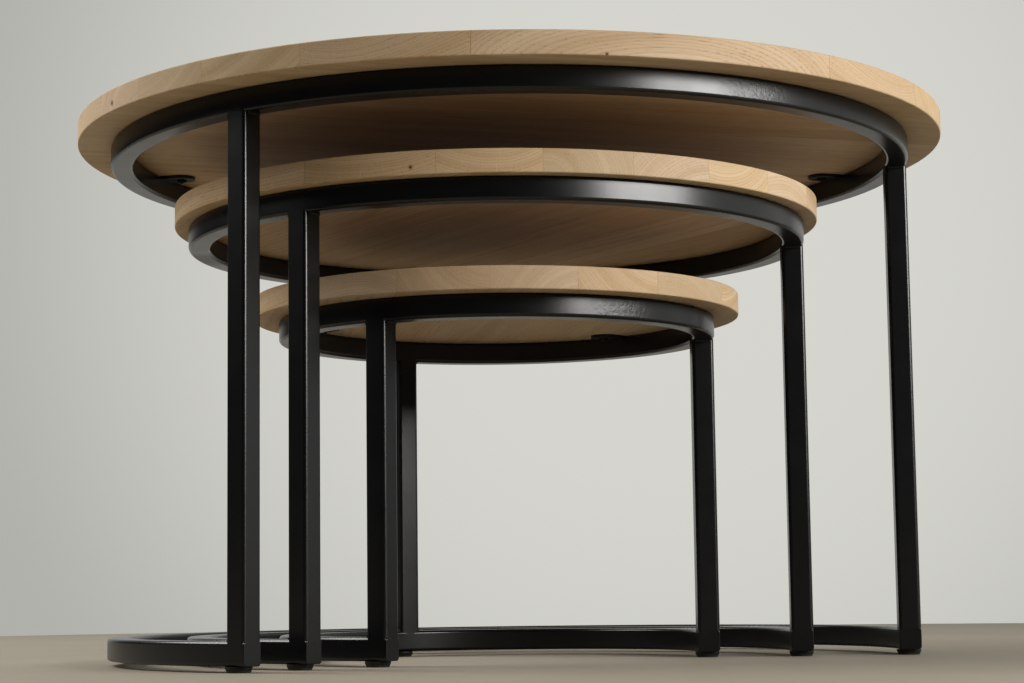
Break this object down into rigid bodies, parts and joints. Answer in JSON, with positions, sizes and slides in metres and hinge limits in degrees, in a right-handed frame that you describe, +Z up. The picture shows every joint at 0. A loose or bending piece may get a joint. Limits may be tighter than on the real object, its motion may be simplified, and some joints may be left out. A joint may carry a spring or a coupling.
{
  "type": "nesting tables",
  "caption": "Round nesting tables: edge-glued oak tops on rings of black square tube, with straight legs on base arcs left open at the front so each slides inside the next.",
  "frame": {"origin": "on the floor, under the middle of the large table's top", "axes": "+Z up; the open side of the large base arc, between its two front legs, faces -Y; +X to the right seen from the front"},
  "size_m": [0.7998, 0.8, 0.49],
  "materials": {
    "oak": "matt clear oil on natural oak",
    "black_powder_coat": "satin black powder coat",
    "glide_plastic": "matt black moulded plastic",
    "black_screw": "black-passivated steel"
  },
  "bodies": {
    "large_table": {"large_base_arc": "black_powder_coat", "large_fixing_tab_1": "black_powder_coat", "large_fixing_tab_2": "black_powder_coat", "large_fixing_tab_3": "black_powder_coat", "large_fixing_tab_4": "black_powder_coat", "large_fixing_tab_5": "black_powder_coat", "large_left_end_cap": "black_powder_coat", "large_left_glide": "glide_plastic", "large_left_leg": "black_powder_coat", "large_rear_glide": "glide_plastic", "large_rear_leg": "black_powder_coat", "large_right_end_cap": "black_powder_coat", "large_right_glide": "glide_plastic", "large_right_leg": "black_powder_coat", "large_top": "oak", "large_top_ring": "black_powder_coat", "large_top_screws": "black_screw"},
    "middle_table": {"middle_base_arc": "black_powder_coat", "middle_fixing_tab_1": "black_powder_coat", "middle_fixing_tab_2": "black_powder_coat", "middle_fixing_tab_3": "black_powder_coat", "middle_left_end_cap": "black_powder_coat", "middle_left_glide": "glide_plastic", "middle_left_leg": "black_powder_coat", "middle_rear_glide": "glide_plastic", "middle_rear_leg": "black_powder_coat", "middle_right_end_cap": "black_powder_coat", "middle_right_glide": "glide_plastic", "middle_right_leg": "black_powder_coat", "middle_top": "oak", "middle_top_ring": "black_powder_coat", "middle_top_screws": "black_screw"},
    "small_table": {"small_base_arc": "black_powder_coat", "small_fixing_tab_1": "black_powder_coat", "small_fixing_tab_2": "black_powder_coat", "small_fixing_tab_3": "black_powder_coat", "small_left_end_cap": "black_powder_coat", "small_left_glide": "glide_plastic", "small_left_leg": "black_powder_coat", "small_rear_glide": "glide_plastic", "small_rear_leg": "black_powder_coat", "small_right_end_cap": "black_powder_coat", "small_right_glide": "glide_plastic", "small_right_leg": "black_powder_coat", "small_top": "oak", "small_top_ring": "black_powder_coat", "small_top_screws": "black_screw"}
  },
  "joints": [
    {"name": "middle_table_slide", "type": "slide", "parent": "large_table", "child": "middle_table", "axis": [0.1221, -0.9925, 0], "range_m": [0, 0.7]},
    {"name": "small_table_slide", "type": "slide", "parent": "middle_table", "child": "small_table", "axis": [0.0559, -0.9984, 0], "range_m": [0, 0.53]}
  ]
}
